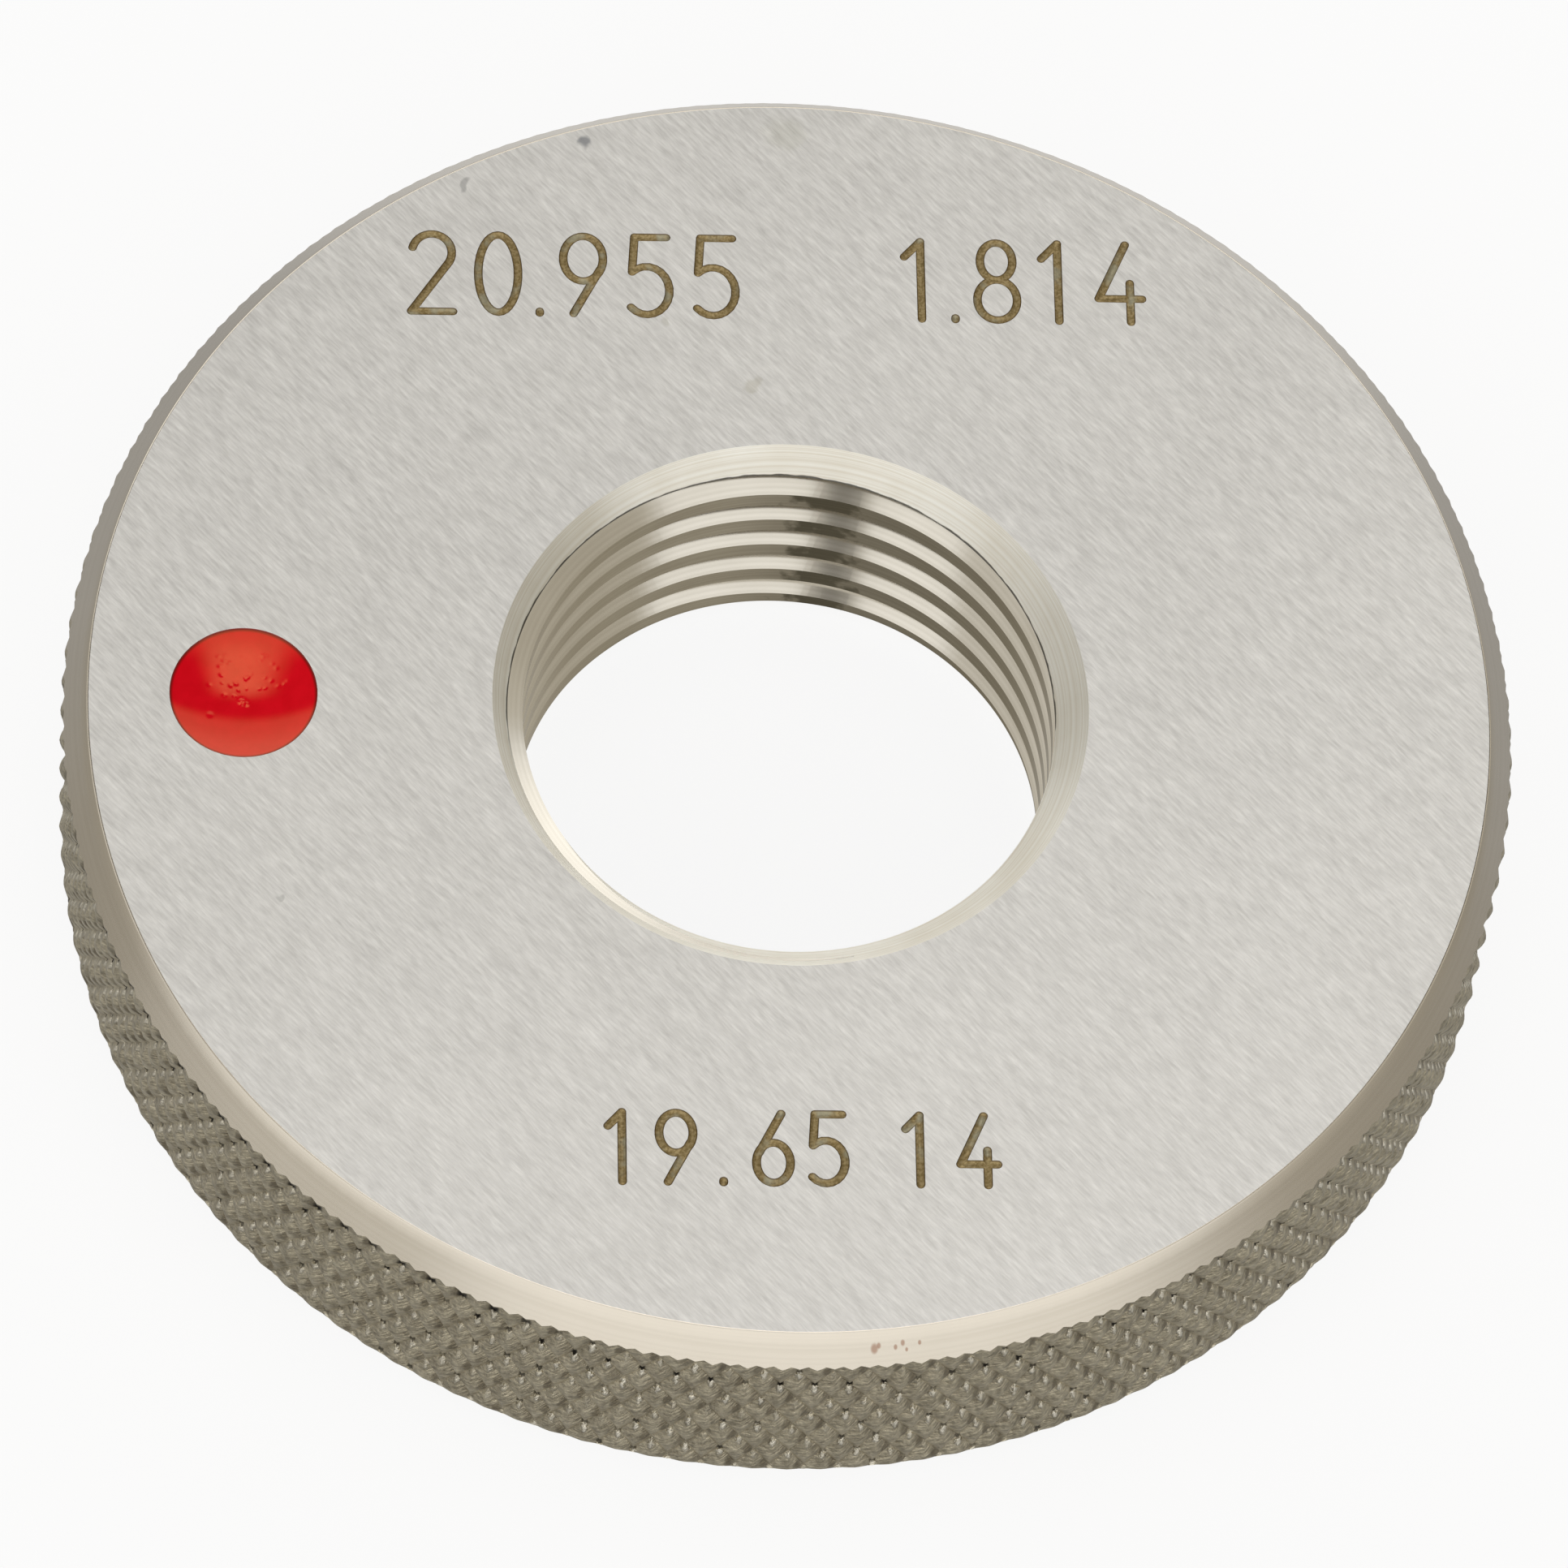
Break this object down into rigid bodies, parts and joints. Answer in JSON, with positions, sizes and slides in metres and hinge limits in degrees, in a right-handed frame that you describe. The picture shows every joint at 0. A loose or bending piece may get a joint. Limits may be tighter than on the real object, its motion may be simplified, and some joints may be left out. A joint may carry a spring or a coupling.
{
  "type": "thread ring gauge",
  "caption": "Round steel ring gauge with a knurled bevelled rim, a right-hand internal screw thread with countersunk ends, and a red lacquered mark on its upper face.",
  "frame": {"origin": "on the bore's axis, on the face that the gauge rests on", "axes": "+Z along the bore's axis towards the marked face, -X towards the red mark"},
  "size_m": [0.053, 0.053, 0.0104],
  "materials": {
    "steel": "ground flat faces, turned bevels and countersinks, knurled rim, cut thread",
    "lacquer": "glossy red lacquer"
  },
  "bodies": {
    "root": {"gauge_ring": "steel", "red_mark": "lacquer"}
  },
  "joints": []
}
